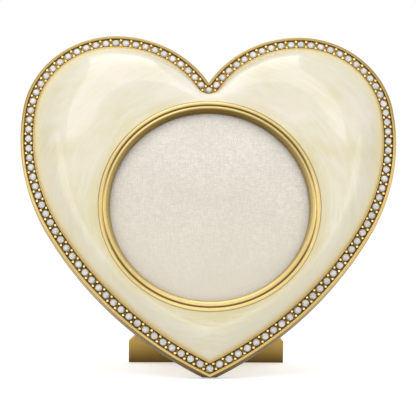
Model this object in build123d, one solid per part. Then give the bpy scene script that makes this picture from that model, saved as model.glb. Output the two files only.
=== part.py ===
from build123d import *
import math
import os

# Heart shaped photo frame that leans back on an easel leg.
# Every piece is first made in the face's own frame: X to the right, Z up the face, Y towards the back,
# with the back of the rim at Y = 0 and the sharp tip of the heart at X = Z = 0.
# A distance in front of the back of the rim is called "forward", so Y = -forward.
# The finished pieces are then leaned back together and set down on the table.
# Lengths are in millimetres and angles in degrees.

# Heart outline: the right half is a chain of tangent arcs from the cleft to the tip
LOBE_X = 25.45
CLEFT_ARC_R = 30.1
SHOULDER_R = 25.3
SHOULDER_SWEEP = 83.0
SIDE_R = 55.2
SIDE_SWEEP = 38.0
FLANK_R = 101.3

# How the frame stands
LEAN = 19.0
TIP_TRIM = 1.0

# Rim with its stone channel
RIM_DEPTH = 4.2
LIP_W = 0.9
LIP_ROUND = 0.35
CHANNEL_W = 2.45
CHANNEL_DEPTH = 0.8
BEZEL_W = 0.25

# Enamel dome, heights counted from the front of the rim
ENAMEL_T = 0.8
ENAMEL_SEAT = 0.9
ENAMEL_GAP = 0.05
EDGE_RISE = 0.1
RING_RISE = 6.0
CREST_GAIN = 0.8
CREST_REACH = 16.0
CREST_SHARE = 0.75
SHORT_SPOKE = 8.0
LONG_SPOKE = 26.0
DOME_STEPS = (0.0, 0.07, 0.18, 0.35, 0.55, 0.72, 0.87, 1.0)
POINTS_PER_ARC = 6

# Round opening and its ring
RING_Z = 45.0
RING_R = 29.25
GROOVE_R = 28.05
OPENING_R = 26.2
LEDGE_RISE = 0.25
BEAD_RISE = 0.1
GROOVE_RISE = -0.1
BEAD_FOOT_RISE = -1.2
BORE_R = 28.6
SKIRT_DEPTH = 3.3
SEAT_SINK = 0.3
PRESS_GAP = 0.02

# What lies behind the ring
GLASS_R = 27.9
GLASS_T = 1.0
GLASS_SINK = 1.4
CARD_T = 0.3
BOARD_T = 1.8
PAD_R = 26.5
STACK_GAP = 0.05

# Hollow of the casting and the back panel
COLLAR_W = 2.0
HOLLOW_INSET = 7.2
HOLLOW_CEILING = 0.6
INNER_HOLLOW_INSET = 11.0
INNER_HOLLOW_CEILING = 3.0
PANEL_T = 1.0
PANEL_INSET = 5.2
PANEL_GAP = 0.15

# Stones and grain beads
STONE_R = 0.9
STONE_PITCH = 2.775
STONE_FACETS = 8
GIRDLE_H = 0.45
CROWN_H = 0.45
TABLE_R = 0.5
GRAIN_R = 0.4
GRAIN_POST_H = 0.62
GRAIN_OFFSET = 0.78

# Turn buttons and their screws
CATCH_INSET = 2.4
CATCH_SHOULDER_ANGLE = 40.0
CATCH_FLANK_ANGLE = -47.0
BUTTON_W = 3.6
BUTTON_LENGTH = 8.0
BUTTON_T = 0.8
SCREW_R = 0.75
SCREW_DEPTH = 2.2
SCREW_HEAD_R = 1.5
SCREW_HEAD_H = 0.8
SCREW_SLOT_W = 0.4
SCREW_SLOT_DEPTH = 0.35
TURN_GAP = 0.05
SLIDE_GAP = 0.1

# Hinge of the leg
HINGE_Z = 62.0
PIN_R = 0.8
PIN_HEAD_R = 1.3
PIN_HEAD_H = 0.6
KNUCKLE_R = 1.7
MID_KNUCKLE_W = 11.0
KNUCKLE_GAP = 0.2
LEAF_W = 24.0
LEAF_H = 12.0
LEAF_T = 0.8
LEAF_ROUND = 1.5
PANEL_CLEAR = 0.05
LEG_CLEAR = 0.15
RIVET_R = 0.9
RIVET_HEAD_R = 1.5
RIVET_HEAD_H = 0.7
RIVET_GAP = 0.03
RIVET_PITCH = 8.0
RIVET_FROM_EDGE = 3.0

# Easel leg
OPEN_ANGLE = 33.0
STOP_GAP = 0.1
LEG_T = 1.6
STEM_W = 20.0
LEG_LEAF_W = 17.0
FOOT_W = 44.0
FOOT_H = 6.2
FOOT_CHAMFER = 3.0
FLARE_H = 15.0
LEG_ROUND = 2.0

# Room for cutting tools beyond the work
CUT_ROOM = 5.0


def direction(angle):
    return Vector(math.cos(math.radians(angle)), math.sin(math.radians(angle)))


# Centres of the outline's arcs, first with the lobe top at height 0, then with the tip there
cleft_start = math.degrees(math.acos(-LOBE_X / CLEFT_ARC_R))
lobe_top_angle = 90.0
shoulder_end = lobe_top_angle - SHOULDER_SWEEP
side_end = shoulder_end - SIDE_SWEEP
side_from_top = Vector(LOBE_X, -SHOULDER_R) + direction(shoulder_end) * (SHOULDER_R - SIDE_R)
flank_from_top = side_from_top + direction(side_end) * (SIDE_R - FLANK_R)
lobe_top_z = math.sqrt(FLANK_R**2 - flank_from_top.X**2) - flank_from_top.Y
raise_to_tip = Vector(0, lobe_top_z)
cleft_centre = Vector(LOBE_X, -CLEFT_ARC_R) + raise_to_tip
shoulder_centre = Vector(LOBE_X, -SHOULDER_R) + raise_to_tip
side_centre = side_from_top + raise_to_tip
flank_centre = flank_from_top + raise_to_tip
notch = Vector(0, cleft_centre.Y + math.sqrt(CLEFT_ARC_R**2 - LOBE_X**2))

# Forward distances that several pieces share
channel_floor = RIM_DEPTH - CHANNEL_DEPTH
enamel_floor = RIM_DEPTH - ENAMEL_SEAT
channel_inset = LIP_W + CHANNEL_W
enamel_inset = channel_inset + BEZEL_W
ring_seat = RIM_DEPTH + RING_RISE - ENAMEL_T - SEAT_SINK
glass_front = RIM_DEPTH + RING_RISE - GLASS_SINK
card_front = glass_front - GLASS_T
board_front = card_front - CARD_T
pad_front = board_front - BOARD_T

# Places at the hinge, Y counted towards the back
hinge_y = KNUCKLE_R + PANEL_CLEAR
leg_offset = KNUCKLE_R + LEG_CLEAR
leg_front_y = hinge_y + leg_offset
knuckle_reach = KNUCKLE_R + KNUCKLE_GAP
plate_rivet_z = HINGE_Z + LEAF_H - RIVET_FROM_EDGE
leaf_rivet_z = HINGE_Z - LEAF_H + RIVET_FROM_EDGE
heel = (
    hinge_y + leg_offset * math.cos(math.radians(OPEN_ANGLE)) - LEAF_T - STOP_GAP
) / math.sin(math.radians(OPEN_ANGLE))

# Where the leg meets the table, counted down the leg from the hinge
table_drop = TIP_TRIM * math.cos(math.radians(LEAN))
hinge_height = (
    HINGE_Z * math.cos(math.radians(LEAN)) - hinge_y * math.sin(math.radians(LEAN)) - table_drop
)
leg_slant = math.radians(OPEN_ANGLE - LEAN)
leg_length = (hinge_height + leg_offset * math.sin(leg_slant)) / math.cos(leg_slant)


def heart_arcs(inset):
    """Right half of the outline moved inwards: centre, radius, start and end angle of each arc."""
    tip_angle = -math.degrees(math.acos(-flank_centre.X / (FLANK_R - inset)))
    arcs = [
        (cleft_centre, CLEFT_ARC_R - inset, cleft_start, lobe_top_angle),
        (shoulder_centre, SHOULDER_R - inset, lobe_top_angle, shoulder_end),
        (side_centre, SIDE_R - inset, shoulder_end, side_end),
        (flank_centre, FLANK_R - inset, side_end, tip_angle),
    ]
    if inset > 0:
        straight_down = 270.0
        arcs.insert(0, (notch, inset, straight_down, cleft_start + 180))
    return arcs


def heart_face(inset):
    edges = []
    for centre, radius, start, end in heart_arcs(inset):
        edges.append(CenterArc((centre.X, centre.Y), radius, start, end - start))
        edges.append(CenterArc((-centre.X, centre.Y), radius, 180 - start, start - end))
    return make_face(edges)


def walk_heart(inset, distance):
    """Point on the right half after this distance from the cleft, with the inward direction there."""
    arcs = heart_arcs(inset)
    for place, (centre, radius, start, end) in enumerate(arcs):
        length = radius * math.radians(abs(end - start))
        last_arc = place == len(arcs) - 1
        if distance <= length or last_arc:
            angle = start + (end - start) * distance / length
            outward = direction(angle)
            turns_round_notch = centre == notch
            return centre + outward * radius, outward if turns_round_notch else -outward
        distance -= length


def half_length(inset):
    return sum(radius * math.radians(abs(end - start)) for _, radius, start, end in heart_arcs(inset))


def prism(sketch, back, front):
    """Sketch on the face, as a plate between two forward distances."""
    return extrude(Plane.XZ.offset(back) * sketch, front - back)


def heart_prism(inset, back, front):
    return prism(heart_face(inset), back, front)


def disc(radius, back, front):
    """Round plate on the axis of the opening."""
    return prism(Pos(0, RING_Z) * Circle(radius), back, front)


def across(sketch, left, right):
    """Sketch in the Y-Z plane, run across the frame between two X places."""
    return extrude(Plane.YZ.offset(left) * sketch, right - left)


def smooth_step(value):
    share = min(max(value, 0.0), 1.0)
    return share * share * (3 - 2 * share)


def dome_height(distance, spoke):
    """Height of the enamel above the rim, this far along a spoke from the rim to the ring."""
    gain = CREST_GAIN * smooth_step((spoke - SHORT_SPOKE) / (LONG_SPOKE - SHORT_SPOKE))
    crest = RING_RISE + gain
    crest_at = CREST_REACH * (1 - math.exp(-CREST_SHARE * spoke / CREST_REACH))
    if distance <= crest_at:
        return EDGE_RISE + (crest - EDGE_RISE) * math.sin(math.pi / 2 * distance / crest_at)
    return crest - gain * smooth_step((distance - crest_at) / (spoke - crest_at))


def spoke_feet(inset):
    """Points on the inset outline, from the tip up the left half, over the cleft and down to the tip."""
    right = []
    for centre, radius, start, end in heart_arcs(inset):
        for step in range(POINTS_PER_ARC):
            right.append(centre + direction(start + (end - start) * step / POINTS_PER_ARC) * radius)
    right.append(centre + direction(end) * radius)
    left = [Vector(-point.X, point.Y) for point in reversed(right)]
    return left[:-1] + right


def dome_wire(feet, share, drop):
    """Closed curve this share of the way along the spokes from the outline to just inside the ring."""
    ring_centre = Vector(0, RING_Z)
    points = []
    run = [0.0]
    for foot, next_foot in zip(feet, feet[1:] + feet[-1:]):
        arm = foot - ring_centre
        spoke = arm.length - GROOVE_R
        place = foot - arm.normalized() * (share * spoke)
        height = dome_height(share * spoke, spoke) - drop
        points.append(Vector(place.X, -(RIM_DEPTH + height), place.Y))
        run.append(run[-1] + (next_foot - foot).length)
    total = run.pop()
    return Wire([Edge.make_spline(points, parameters=[distance / total for distance in run])])


def dome(inset, drop, skirt):
    """Domed block from the inset outline up to the ring, with an upright skirt below its edge."""
    feet = spoke_feet(inset)
    wires = [dome_wire(feet, share, drop) for share in DOME_STEPS]
    return Solid.make_loft(wires) + extrude(Face(wires[0]), skirt, dir=(0, 1, 0))


def catch_places():
    """Pivot of each turn button with the angle at which its tongue points inwards."""
    places = {}
    for level, centre, radius, angle in (
        ("upper", shoulder_centre, SHOULDER_R, CATCH_SHOULDER_ANGLE),
        ("lower", flank_centre, FLANK_R, CATCH_FLANK_ANGLE),
    ):
        pivot = centre + direction(angle) * (radius - CATCH_INSET)
        places[level + "_right"] = (pivot.X, pivot.Y, angle + 180)
        places[level + "_left"] = (-pivot.X, pivot.Y, -angle)
    return places


def make_casting():
    rim = heart_prism(0, 0, RIM_DEPTH)
    front_edges = rim.faces().sort_by(Axis.Y)[0].edges()
    casting = fillet(front_edges, LIP_ROUND)
    channel = heart_prism(LIP_W, channel_floor, RIM_DEPTH + CUT_ROOM)
    channel -= heart_prism(channel_inset, channel_floor, RIM_DEPTH + CUT_ROOM)
    casting -= channel
    casting -= heart_prism(enamel_inset, enamel_floor, RIM_DEPTH + CUT_ROOM)
    core_sink = ENAMEL_SEAT
    casting += dome(enamel_inset + ENAMEL_T, ENAMEL_T, core_sink)
    collar = disc(BORE_R + COLLAR_W, 0, RIM_DEPTH + RING_RISE)
    for inset, ceiling in (
        (HOLLOW_INSET, HOLLOW_CEILING),
        (INNER_HOLLOW_INSET, INNER_HOLLOW_CEILING),
    ):
        casting -= heart_prism(inset, 0, RIM_DEPTH + ceiling) - collar
    casting -= heart_prism(PANEL_INSET - PANEL_GAP, 0, PANEL_T)
    casting -= disc(BORE_R, 0, RIM_DEPTH + RING_RISE + CUT_ROOM)
    casting -= disc(RING_R + ENAMEL_GAP, ring_seat, RIM_DEPTH + RING_RISE + CUT_ROOM)
    for x, z, _ in catch_places().values():
        casting -= prism(Pos(x, z) * Circle(SCREW_R + PRESS_GAP), 0, SCREW_DEPTH + TURN_GAP)
    return casting


def make_enamel():
    enamel = dome(enamel_inset + ENAMEL_GAP, 0, ENAMEL_SEAT + EDGE_RISE)
    enamel -= dome(enamel_inset + ENAMEL_T, ENAMEL_T, ENAMEL_SEAT)
    return enamel - disc(RING_R + ENAMEL_GAP, 0, RIM_DEPTH + RING_RISE + CUT_ROOM)


def make_ring():
    joint = RIM_DEPTH + RING_RISE
    ledge_r = (RING_R + GROOVE_R) / 2
    bead_r = (GROOVE_R + OPENING_R) / 2
    skirt_r = BORE_R - PRESS_GAP
    outer_foot = (RING_R, -joint)
    groove = (GROOVE_R, -(joint + GROOVE_RISE))
    inner_foot = (OPENING_R, -(joint + BEAD_FOOT_RISE))
    profile = [
        ThreePointArc(outer_foot, (ledge_r, -(joint + LEDGE_RISE)), groove),
        ThreePointArc(groove, (bead_r, -(joint + BEAD_RISE)), inner_foot),
        Polyline(
            inner_foot,
            (OPENING_R, -glass_front),
            (GLASS_R + STACK_GAP, -glass_front),
            (GLASS_R + STACK_GAP, -(ring_seat - SKIRT_DEPTH)),
            (skirt_r, -(ring_seat - SKIRT_DEPTH)),
            (skirt_r, -ring_seat),
            (RING_R, -ring_seat),
            outer_foot,
        ),
    ]
    return Pos(0, 0, RING_Z) * revolve(make_face(profile), Axis.Y)


def on_channel(distance, offset, mirrored):
    """Location on the channel floor, this far from the cleft and this far inwards of its middle."""
    point, inward = walk_heart(LIP_W + CHANNEL_W / 2, distance)
    point = point + inward * offset
    turn = math.degrees(math.atan2(inward.Y, inward.X))
    if mirrored:
        return Plane.XZ.offset(channel_floor).location * Pos(-point.X, point.Y) * Rot(0, 0, 180 - turn)
    return Plane.XZ.offset(channel_floor).location * Pos(point.X, point.Y) * Rot(0, 0, turn)


def stone_steps():
    """Number of gaps between stones on one half, and their even spacing."""
    length = half_length(LIP_W + CHANNEL_W / 2)
    steps = round(length / STONE_PITCH)
    return steps, length / steps


def make_stones():
    outline = RegularPolygon(STONE_R, STONE_FACETS)
    table = RegularPolygon(TABLE_R, STONE_FACETS)
    crown = loft([Pos(0, 0, GIRDLE_H) * outline, Pos(0, 0, GIRDLE_H + CROWN_H) * table], ruled=True)
    stone = extrude(outline, GIRDLE_H) + crown
    steps, pitch = stone_steps()
    stones = [on_channel(step * pitch, 0, False) * stone for step in range(steps + 1)]
    stones += [on_channel(step * pitch, 0, True) * stone for step in range(1, steps)]
    return Compound(children=stones)


def make_beads():
    post = Cylinder(GRAIN_R, GRAIN_POST_H, align=(Align.CENTER, Align.CENTER, Align.MIN))
    grain = post + Pos(0, 0, GRAIN_POST_H) * Sphere(GRAIN_R)
    steps, pitch = stone_steps()
    grains = []
    for step in range(steps):
        for offset in (-GRAIN_OFFSET, GRAIN_OFFSET):
            for mirrored in (False, True):
                middle_of_gap = (step + 0.5) * pitch
                grains.append(on_channel(middle_of_gap, offset, mirrored) * grain)
    return Compound(children=grains)


def make_panel():
    panel = heart_prism(PANEL_INSET, 0, PANEL_T)
    for x in (-RIVET_PITCH, 0, RIVET_PITCH):
        panel -= prism(Pos(x, plate_rivet_z) * Circle(RIVET_R + RIVET_GAP), 0, PANEL_T)
    return panel


def knuckle(left, right):
    return across(Pos(hinge_y, HINGE_Z) * Circle(KNUCKLE_R), left, right)


def pin_bore():
    return across(Pos(hinge_y, HINGE_Z) * Circle(PIN_R + TURN_GAP), -LEAF_W, LEAF_W)


def make_hinge_plate():
    blank = Pos(0, HINGE_Z + LEAF_H / 2) * Rectangle(LEAF_W, LEAF_H)
    blank = fillet(blank.vertices().group_by(Axis.Y)[-1], LEAF_ROUND)
    gate = MID_KNUCKLE_W + 2 * KNUCKLE_GAP
    blank -= Pos(0, HINGE_Z) * Rectangle(gate, 2 * knuckle_reach)
    for x in (-RIVET_PITCH, 0, RIVET_PITCH):
        blank -= Pos(x, plate_rivet_z) * Circle(RIVET_R + RIVET_GAP)
    plate = prism(blank, -LEAF_T, 0)
    plate += knuckle(-LEAF_W / 2, -gate / 2)
    plate += knuckle(gate / 2, LEAF_W / 2)
    return plate - pin_bore()


def make_leg_leaf():
    """Moving leaf as it lies with the leg folded against the back."""
    top = HINGE_Z - knuckle_reach
    bottom = HINGE_Z - LEAF_H
    blank = Pos(0, (top + bottom) / 2) * Rectangle(LEG_LEAF_W, top - bottom)
    blank = fillet(blank.vertices().group_by(Axis.Y)[0], LEAF_ROUND)
    blank += Pos(0, (HINGE_Z + bottom) / 2) * Rectangle(MID_KNUCKLE_W, HINGE_Z - bottom)
    for x in (-RIVET_PITCH / 2, RIVET_PITCH / 2):
        blank -= Pos(x, leaf_rivet_z) * Circle(RIVET_R + RIVET_GAP)
    leaf = prism(blank, -leg_front_y, LEAF_T - leg_front_y)
    leaf += knuckle(-MID_KNUCKLE_W / 2, MID_KNUCKLE_W / 2)
    return leaf - pin_bore()


def make_leg():
    """Leg as it lies folded against the back, its foot still too long."""
    floor_z = HINGE_Z - leg_length
    chamfer_foot = floor_z + FOOT_H
    chamfer_top = chamfer_foot + FOOT_CHAMFER
    flare_top = (STEM_W / 2, chamfer_top + FLARE_H)
    flare_foot = (FOOT_W / 2 - FOOT_CHAMFER, chamfer_top)
    right = [
        Polyline((0, HINGE_Z + heel), (STEM_W / 2, HINGE_Z + heel), flare_top),
        TangentArc(flare_top, flare_foot, tangent=(0, -1)),
        Polyline(
            flare_foot,
            (FOOT_W / 2, chamfer_foot),
            (FOOT_W / 2, floor_z - CUT_ROOM),
            (0, floor_z - CUT_ROOM),
        ),
    ]
    half = make_face(right + [Line((0, floor_z - CUT_ROOM), (0, HINGE_Z + heel))])
    blank = half + mirror(half, about=Plane.YZ)
    blank = fillet(blank.vertices().group_by(Axis.Y)[-1], LEG_ROUND)
    for x in (-RIVET_PITCH / 2, RIVET_PITCH / 2):
        blank -= Pos(x, leaf_rivet_z) * Circle(RIVET_R + RIVET_GAP)
    return prism(blank, -(leg_front_y + LEG_T), -leg_front_y)


def rivet(x, z, head_y, tail_y):
    """Rivet along Y, with its domed head at the back and its tail flush at the front."""
    dome_r = (RIVET_HEAD_R**2 + RIVET_HEAD_H**2) / (2 * RIVET_HEAD_H)
    dome_centre_y = head_y + RIVET_HEAD_H - dome_r
    dome_start = math.degrees(math.atan2(dome_r - RIVET_HEAD_H, RIVET_HEAD_R))
    outline = [
        CenterArc((0, dome_centre_y), dome_r, dome_start, 90 - dome_start),
        Polyline(
            (0, head_y + RIVET_HEAD_H),
            (0, tail_y),
            (RIVET_R, tail_y),
            (RIVET_R, head_y),
            (RIVET_HEAD_R, head_y),
        ),
    ]
    return Pos(x, 0, z) * revolve(make_face(outline), Axis.Y)


def make_hinge_rivets():
    return Compound(
        children=[rivet(x, plate_rivet_z, LEAF_T, -PANEL_T) for x in (-RIVET_PITCH, 0, RIVET_PITCH)]
    )


def make_leg_rivets():
    back = leg_front_y + LEG_T
    front = leg_front_y - LEAF_T
    return Compound(
        children=[rivet(x, leaf_rivet_z, back, front) for x in (-RIVET_PITCH / 2, RIVET_PITCH / 2)]
    )


def make_pin():
    centre = Pos(hinge_y, HINGE_Z)
    pin = across(centre * Circle(PIN_R), -LEAF_W / 2 - TURN_GAP, LEAF_W / 2 + PIN_HEAD_H)
    return pin + across(centre * Circle(PIN_HEAD_R), -LEAF_W / 2 - TURN_GAP - PIN_HEAD_H, -LEAF_W / 2 - TURN_GAP)


def make_button(x, z, turn):
    reach = BUTTON_LENGTH - BUTTON_W
    bar = Pos(reach / 2, 0) * SlotCenterToCenter(reach, BUTTON_W) - Circle(SCREW_R + TURN_GAP)
    return prism(Pos(x, z) * Rot(0, 0, turn) * bar, -(SLIDE_GAP + BUTTON_T), -SLIDE_GAP)


def make_screw(x, z, turn):
    head_foot = 2 * SLIDE_GAP + BUTTON_T
    head_top = head_foot + SCREW_HEAD_H
    screw = prism(Pos(x, z) * Circle(SCREW_HEAD_R), -head_top, -head_foot)
    screw += prism(Pos(x, z) * Circle(SCREW_R), -head_foot, SCREW_DEPTH)
    slot = Pos(x, z) * Rot(0, 0, turn) * Rectangle(2 * SCREW_HEAD_R + CUT_ROOM, SCREW_SLOT_W)
    return screw - prism(slot, -head_top, SCREW_SLOT_DEPTH - head_top)


# All pieces in the face's frame, with the leg folded flat against the back
fixed = {
    "frame_casting": make_casting(),
    "enamel_front": make_enamel(),
    "opening_ring": make_ring(),
    "rim_crystals": make_stones(),
    "setting_beads": make_beads(),
    "glass_pane": disc(GLASS_R, card_front, glass_front),
    "photo_card": disc(GLASS_R, board_front, card_front),
    "backing_board": disc(GLASS_R, pad_front, board_front),
    "pressure_pad": disc(PAD_R, PANEL_T, pad_front),
    "back_panel": make_panel(),
    "hinge_plate": make_hinge_plate(),
    "hinge_rivets": make_hinge_rivets(),
    "hinge_pin": make_pin(),
    "catch_screws": Compound(children=[make_screw(*place) for place in catch_places().values()]),
}
for corner, place in catch_places().items():
    fixed["turn_button_" + corner] = make_button(*place)
folding = {
    "easel_leg": make_leg(),
    "leg_hinge_leaf": make_leg_leaf(),
    "leg_rivets": make_leg_rivets(),
}

# Open the leg, lean the frame back and trim what reaches below the table
to_hinge = Pos(0, hinge_y, HINGE_Z)
open_leg = to_hinge * Rot(OPEN_ANGLE, 0, 0) * to_hinge.inverse()
lean_back = Pos(0, 0, -table_drop) * Rot(-LEAN, 0, 0)
leaned = {name: lean_back * piece for name, piece in fixed.items()}
leaned.update({name: lean_back * open_leg * piece for name, piece in folding.items()})
below_table = Pos(0, 0, -FOOT_W) * Box(4 * FOOT_W, 4 * FOOT_W, 2 * FOOT_W)
for name in ("frame_casting", "easel_leg"):
    leaned[name] -= below_table

# Put the origin on the table, under the middle of the whole frame
boxes = [piece.bounding_box() for piece in leaned.values()]
front_y = min(box.min.Y for box in boxes)
back_y = max(box.max.Y for box in boxes)
centre_depth = Pos(0, -(front_y + back_y) / 2, 0)
stand = centre_depth * lean_back

os.makedirs("parts", exist_ok=True)
for name, piece in leaned.items():
    export_step(centre_depth * piece, f"parts/{name}.step")

# Places that the joints turn about
print("hinge axis", (stand * Pos(0, hinge_y, HINGE_Z)).position)
for corner, (x, z, _) in catch_places().items():
    print("pivot", corner, (stand * Pos(x, 0, z)).position)
print("stones on one half", stone_steps())
print("heart height", lobe_top_z, "front and back", front_y, back_y)
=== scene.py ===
import math
import random

import bmesh
import bpy
from mathutils import Matrix, Vector


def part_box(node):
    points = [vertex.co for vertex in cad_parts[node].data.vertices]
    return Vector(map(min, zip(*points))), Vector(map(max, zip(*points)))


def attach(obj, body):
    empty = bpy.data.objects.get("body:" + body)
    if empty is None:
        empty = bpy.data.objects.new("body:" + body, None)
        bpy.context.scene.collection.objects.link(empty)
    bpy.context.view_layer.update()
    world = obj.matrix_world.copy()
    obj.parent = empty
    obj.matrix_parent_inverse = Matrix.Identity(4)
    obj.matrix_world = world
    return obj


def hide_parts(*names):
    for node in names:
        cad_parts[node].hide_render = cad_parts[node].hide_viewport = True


# Heart shaped photo frame: fine shapes, materials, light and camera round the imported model.
# As in the part's source, a piece of the face is made in the face's own frame: X to the right, Z up the
# face, Y towards the back, with the back of the rim at Y = 0 and the sharp tip of the heart at X = Z = 0.
# A distance in front of the back of the rim is called "forward", so Y = -forward.
# Lengths are in metres and angles in degrees.

# Heart outline: the right half is a chain of tangent arcs from the cleft to the tip
LOBE_X = 0.02545
CLEFT_ARC_R = 0.0301
SHOULDER_R = 0.0253
SHOULDER_SWEEP = 83.0
SIDE_R = 0.0552
SIDE_SWEEP = 38.0
FLANK_R = 0.1013
NOTCH_STEPS = 10
CLEFT_STEPS = 40
SHOULDER_STEPS = 48
SIDE_STEPS = 48
FLANK_STEPS = 96

# How the frame stands
LEAN = 19.0
OPEN_ANGLE = 33.0

# Rim with its stone channel, and the ledge that the back panel rests on
RIM_DEPTH = 0.0042
LIP_W = 0.0009
CHANNEL_W = 0.00245
CHANNEL_DEPTH = 0.0008
BEZEL_W = 0.00025
BEZEL_RISE = 0.00005
BACK_ROUND = 0.00025
LIP_OUTER_ROUND = 0.0004
LIP_INNER_ROUND = 0.00028
FLOOR_ROUND = 0.0001
BEZEL_ROUND = 0.0001
ROUND_STEPS = 5
PANEL_T = 0.001
PANEL_HOLE_INSET = 0.00505
LEDGE_INSET = 0.0072

# Painted shade on the rim: inside the lip, low and high on the heart, and on the outer wall, most at the
# tip next to the table
LIP_BRIGHT_W = 0.00035
INNER_LIP_SHADE = 0.3
LOW_LIP_SHADE = 0.25
LOW_LIP_TOP = 0.06
HIGH_LIP_SHADE = 0.5
HIGH_LIP_FROM = 0.055
HIGH_LIP_RUN = 0.022
OUTER_WALL_SHADE = 0.6
OUTER_WALL_SHADE_W = 0.0003
TIP_WALL_TOP = 0.03

# Enamel dome, heights counted from the front of the rim
ENAMEL_T = 0.0008
ENAMEL_SEAT = 0.0009
ENAMEL_GAP = 0.00005
EDGE_RISE = 0.0001
RING_RISE = 0.006
CREST_GAIN = 0.0008
CREST_REACH = 0.016
CREST_SHARE = 0.75
SHORT_SPOKE = 0.008
LONG_SPOKE = 0.026
DOME_ROWS = 36
CREASE_PASSES = 250
ROW_POWER = 1.3

# Round opening and its ring
RING_Z = 0.045
RING_R = 0.02925
GROOVE_R = 0.02805
OPENING_R = 0.0262
LEDGE_RISE = 0.00025
BEAD_RISE = 0.0001
GROOVE_RISE = -0.0001
BEAD_FOOT_RISE = -0.0012
SEAT_SINK = 0.0003
GLASS_SINK = 0.0014
GLASS_T = 0.001
GLASS_R = 0.0279
PANE_ROUND = 0.0002
PANE_CLEAR = 0.00003
LEDGE_ARC_STEPS = 20
BEAD_ARC_STEPS = 32
RING_STEPS = 192

# Painted shade on the ring: in the groove but for its left and right, at the foot, and inside, most at the
# top, where it faces down
GROOVE_SHADE_W = 0.0006
GROOVE_SHADE_RISE = 0.6
FOOT_LINE_W = 0.0003
FOOT_LINE_SHADE = 0.5
INNER_SHADE_FROM_R = 0.0276
INNER_SHADE_RUN = 0.0007
TOP_INNER_SHADE = 1.0
BOTTOM_INNER_SHADE = 0.1

# Stones and grain beads
STONE_R = 0.0009
STONE_PITCH = 0.002775
STONE_SIDES = 8
CROWN_FACETS = 4
GIRDLE_H = 0.0006
STAR_H = 0.00075
CROWN_TOP = 0.00082
TABLE_R = 0.00056
STAR_R = 0.00074
# Least painted light on a stone's table and on its girdle walls, which are kept pale against their shade
TABLE_LEAST_LIGHT = 0.6
WALL_LEAST_LIGHT = 0.9
GRAIN_R = 0.0004
GRAIN_POST_H = 0.00062
GRAIN_HEAD_H = 0.00026
GRAIN_OFFSET = 0.00078
GRAIN_SIDES = 12
GRAIN_RINGS = 5
GRAIN_SPREAD = 0.07
SEED = 7

# Easel leg, in the pose in which it lies folded against the back
HINGE_Z = 0.062
HINGE_Y = 0.00175
LEG_FRONT_Y = 0.0036
LEG_T = 0.0016
STEM_W = 0.02
FOOT_W = 0.044
FOOT_H = 0.0062
FOOT_CHAMFER = 0.003
FLARE_H = 0.015
FLARE_STEPS = 14
LEG_ROUND = 0.002
LEG_BEVEL = 0.0002
LEG_BEVEL_STEPS = 3
# Painted shade on the foot, darkest where it meets the table
FOOT_SHADE = 1.0

# Welding distance and the angle from which an edge stays sharp
WELD = 1e-7
SHARP_ANGLE = 40.0
FACET_ANGLE = 1.0

# Patterns that go round the opening: a small hoop makes long strokes, a large scale fine ones
BRUSHING_HOOP = 0.0025
BRUSHING_SCALE = 5000
STROKE_HOOP = 0.006
STROKE_SCALE = 420
STROKE_DETAIL = 2
STROKE_SWIRL = 2.0

# The part of its values that nearly all of a noise lies in
NOISE_RUN = (0.3, 0.7)

# Gold plate, with the dark brown of its painted shade and how far that shade dulls the metal
GOLD_SHADE_BROWN = (0.15, 0.095, 0.024)
GOLD_CLOUD_SCALE = 60
GOLD_CLOUD_DETAIL = 4
GOLD_GRAIN_DETAIL = 3
GOLD_RELIEF_STRENGTH = 0.5
DULL_FROM_SHADE = 0.3
DULL_METAL = 0.3
EDGE_CATCH = 0.00012
EDGE_SAMPLES = 6

# Channel: dark below, lighter towards the lobes
CHANNEL_DARK = (0.09, 0.055, 0.014)
CHANNEL_HIGH = (0.30, 0.205, 0.06)
CHANNEL_FLECK = (0.40, 0.275, 0.09)
CHANNEL_HIGH_HEIGHTS = (0.02, 0.042)
FLECK_SCALE = 2600
FLECK_DETAIL = 4
FLECK_RUN = (0.5, 0.72)
FLECK_RELIEF = 0.00006

# Enamel tones, with their largest shares and where they lie: heights from the middle of the opening,
# distances from the rim, the ring or a place under the cleft, and parts of a noise
CREAM_DEEP = (0.73, 0.66, 0.43)
CREAM_PALE = (0.81, 0.755, 0.605)
CREAM_RUN = (0.36, 0.64)
PINK_CAST = (0.80, 0.70, 0.54)
PINK_SHARE = 0.55
GREEN_CAST = (0.715, 0.71, 0.52)
GREEN_SHARE = 0.5
CAST_RUN = (0.5, 0.68)
LOW_CREAM = (0.67, 0.60, 0.34)
LOW_HEIGHTS = (0.02, -0.03)
LOW_SHARE = 0.7
PEARL_STREAK = (0.83, 0.80, 0.73)
STREAK_RUN = (0.42, 0.7)
STREAK_SHARE = 0.45
# Painted light on the low flanks near the rim, which face down
LOW_RIM_LIGHT = (0.86, 0.835, 0.735)
LOW_RIM_LIGHT_REACH = (0.001, 0.006)
RIM_YELLOW = (0.88, 0.77, 0.45)
RIM_REACH = (0.0004, 0.0034)
RIM_SHARE = 0.8
EDGE_YELLOW = (0.78, 0.59, 0.22)
EDGE_REACH = (0.0001, 0.0009)
EDGE_SHARE = 0.85
# Painted shadow with a gold reflection next to the ring
RING_SHADOW_GOLD = (0.67, 0.57, 0.28)
RING_SHADOW_REACH = (0, 0.003)
RING_SHADOW_SHARE = 0.6
# Painted highlight under the cleft
CLEFT_HIGHLIGHT = (0.92, 0.885, 0.80)
CLEFT_HIGHLIGHT_PLACE = (0, -0.006, 0.032)
CLEFT_HIGHLIGHT_REACH = (0.005, 0.016)
CLEFT_HIGHLIGHT_SHARE = 0.45
GLAZE_REACH = (0.0014, 0.005)
MICA_SCALE = 5200
MICA_DETAIL = 2
MICA_RELIEF = 0.000012

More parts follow.
